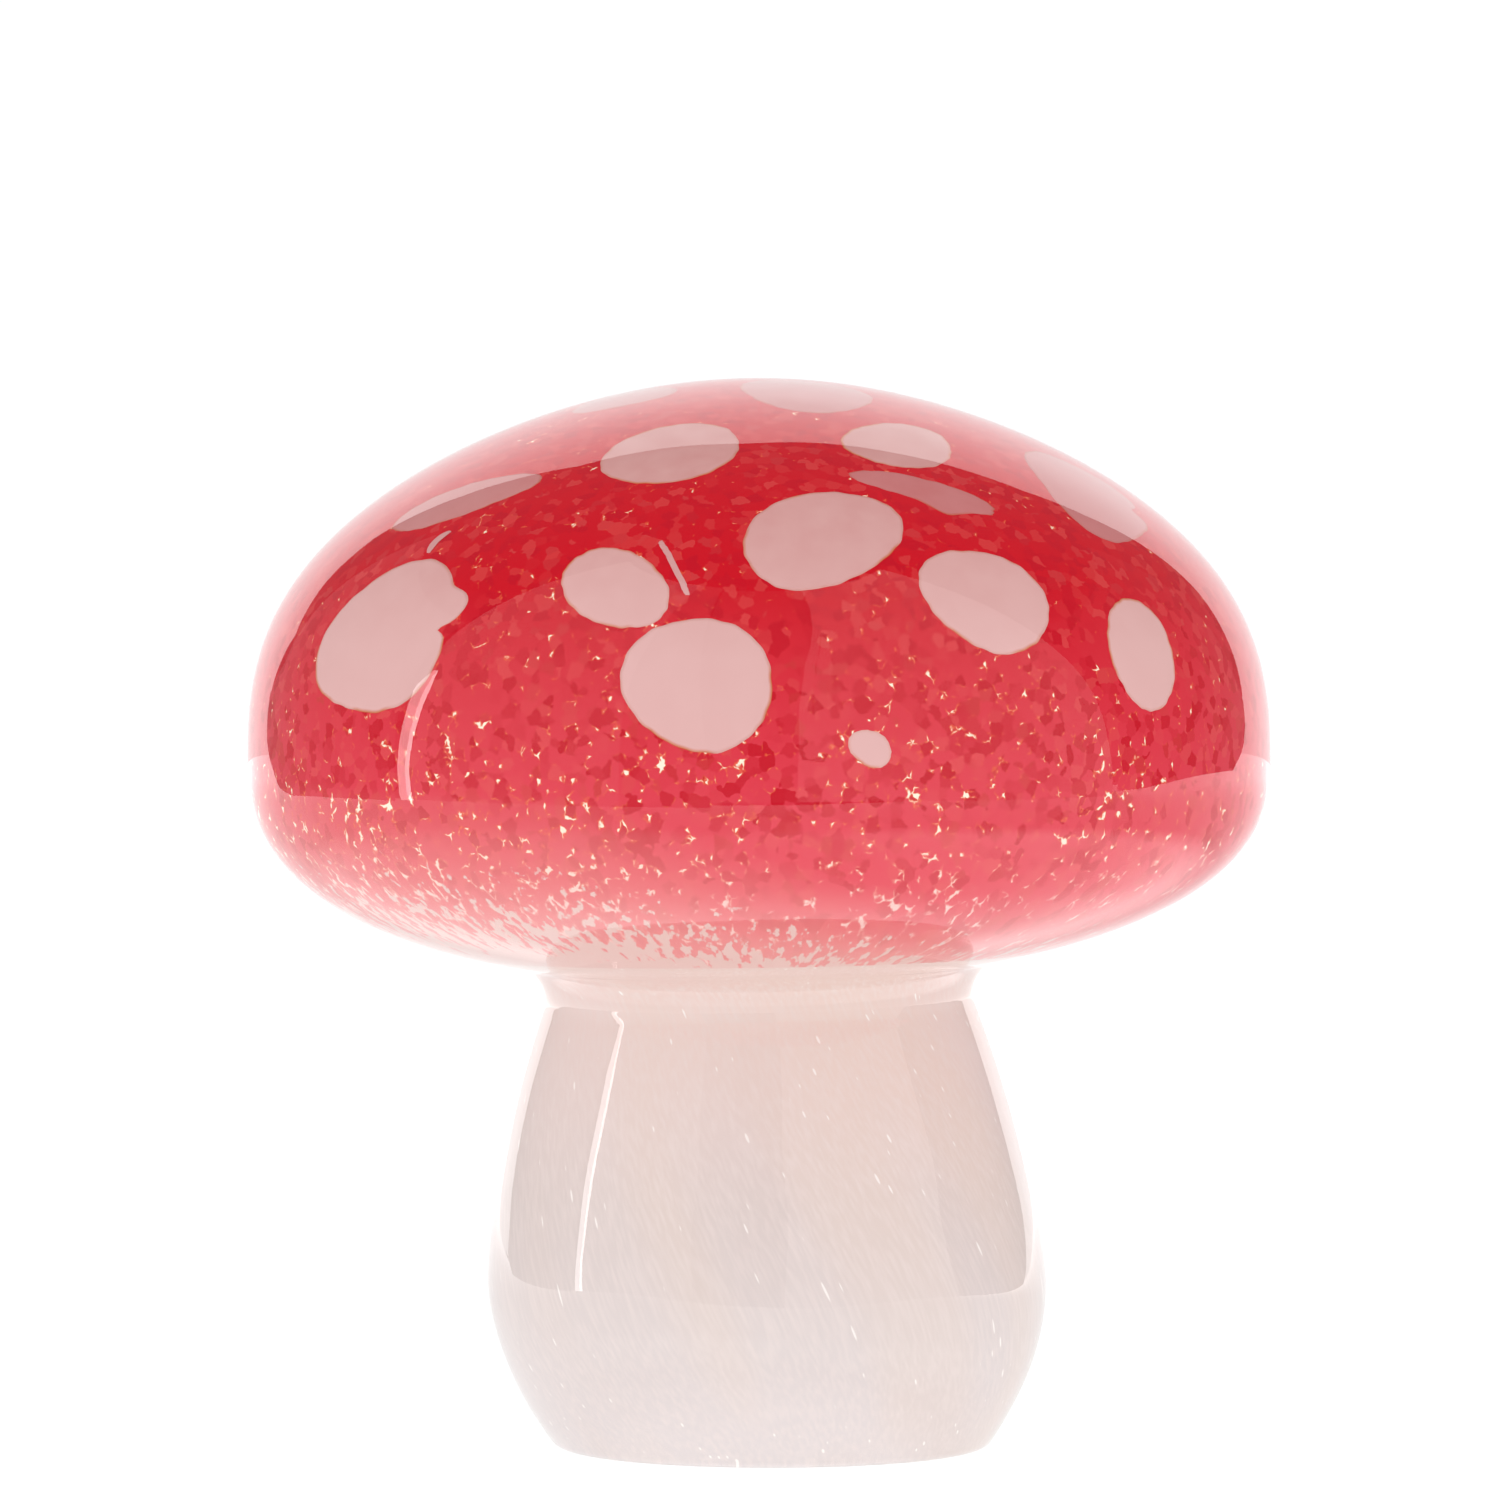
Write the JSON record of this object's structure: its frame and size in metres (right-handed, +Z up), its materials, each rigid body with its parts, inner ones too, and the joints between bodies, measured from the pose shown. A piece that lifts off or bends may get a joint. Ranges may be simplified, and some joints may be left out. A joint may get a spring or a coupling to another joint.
{
  "type": "glass mushroom ornament",
  "caption": "Free-standing blown glass toadstool: white stem, round red speckled cap with flush white spots, all under a clear glossy casing, resting on a flat ground foot.",
  "frame": {"origin": "on the ground under the middle of the cap", "axes": "+Z up through the cap, -Y towards the pictured front, +X to the right of it"},
  "size_m": [0.1194, 0.1194, 0.125],
  "materials": {
    "clear_glass": "fire-polished, smooth and glossy",
    "red_frit_glass": "melted red glass chips with pale gaps",
    "opal_glass": "milky opal with faint drawn streaks",
    "white_dab_glass": "dense opal white, rolled flush"
  },
  "bodies": {
    "root": {"clear_casing": "clear_glass", "red_frit_coat": "red_frit_glass", "opal_bubble": "opal_glass", "foot_seal": "opal_glass", "white_spot_01": "white_dab_glass", "white_spot_02": "white_dab_glass", "white_spot_03": "white_dab_glass", "white_spot_04": "white_dab_glass", "white_spot_05": "white_dab_glass", "white_spot_06": "white_dab_glass", "white_spot_07": "white_dab_glass", "white_spot_08": "white_dab_glass", "white_spot_09": "white_dab_glass", "white_spot_10": "white_dab_glass", "white_spot_11": "white_dab_glass", "white_spot_12": "white_dab_glass", "white_spot_13": "white_dab_glass", "white_spot_14": "white_dab_glass", "white_spot_15": "white_dab_glass", "white_spot_16": "white_dab_glass", "white_spot_17": "white_dab_glass", "white_spot_18": "white_dab_glass", "white_spot_19": "white_dab_glass", "white_spot_20": "white_dab_glass", "white_spot_21": "white_dab_glass", "white_spot_22": "white_dab_glass", "white_spot_23": "white_dab_glass", "white_spot_24": "white_dab_glass", "white_spot_25": "white_dab_glass", "white_thread_1": "white_dab_glass", "white_thread_2": "white_dab_glass"}
  },
  "joints": []
}
